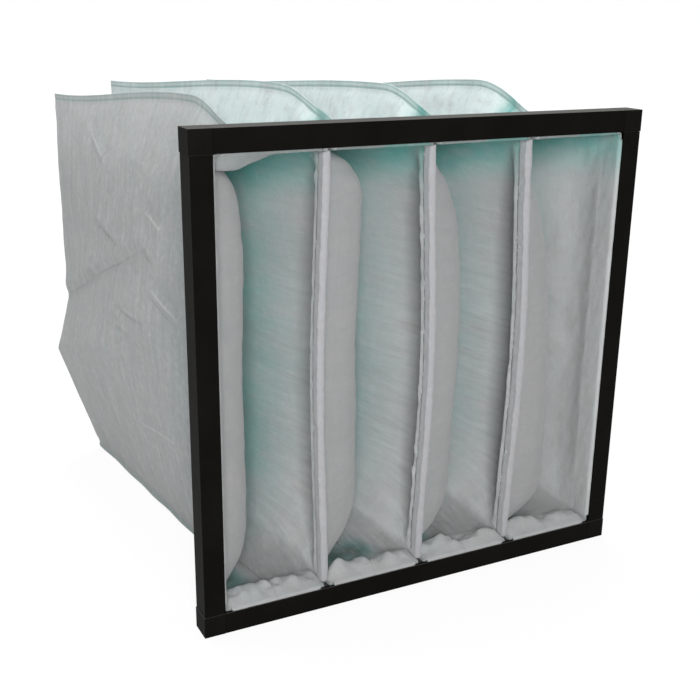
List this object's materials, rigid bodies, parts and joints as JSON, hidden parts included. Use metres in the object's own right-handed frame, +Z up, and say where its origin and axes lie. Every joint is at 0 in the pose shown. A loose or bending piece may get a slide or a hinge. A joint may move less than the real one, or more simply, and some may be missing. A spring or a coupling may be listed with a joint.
{
  "type": "bag air filter",
  "caption": "Bag air filter: square black header frame clamping open non-woven fabric pockets that are welded along their edges and trail behind it.",
  "frame": {"origin": "middle of the underside of the header frame, half way between its front and rear faces", "axes": "+Z up the header, +Y the way the air flows through the pockets, +X to the right of someone who looks into the pockets"},
  "size_m": [0.613, 0.615, 0.619],
  "materials": {
    "rail_black": "satin black extrusion",
    "corner_black": "fine-grained black moulding",
    "strip_black": "plain black extrusion",
    "divider_wire": "drawn galvanised wire",
    "hem_white": "white non-woven hem",
    "filter_media": "fibrous non-woven, white with a faint green tint"
  },
  "bodies": {
    "root": {"rail_top": "rail_black", "rail_bottom": "rail_black", "rail_left": "rail_black", "rail_right": "rail_black", "corner_top_left": "corner_black", "corner_top_right": "corner_black", "corner_bottom_left": "corner_black", "corner_bottom_right": "corner_black", "clamp_strip_top": "strip_black", "clamp_strip_bottom": "strip_black", "clamp_strip_left": "strip_black", "clamp_strip_right": "strip_black", "divider_rod_1": "divider_wire", "divider_rod_2": "divider_wire", "divider_rod_3": "divider_wire", "divider_binding_1": "hem_white", "divider_binding_2": "hem_white", "divider_binding_3": "hem_white", "pocket_1": "filter_media", "pocket_2": "filter_media", "pocket_3": "filter_media", "pocket_4": "filter_media"}
  },
  "joints": []
}
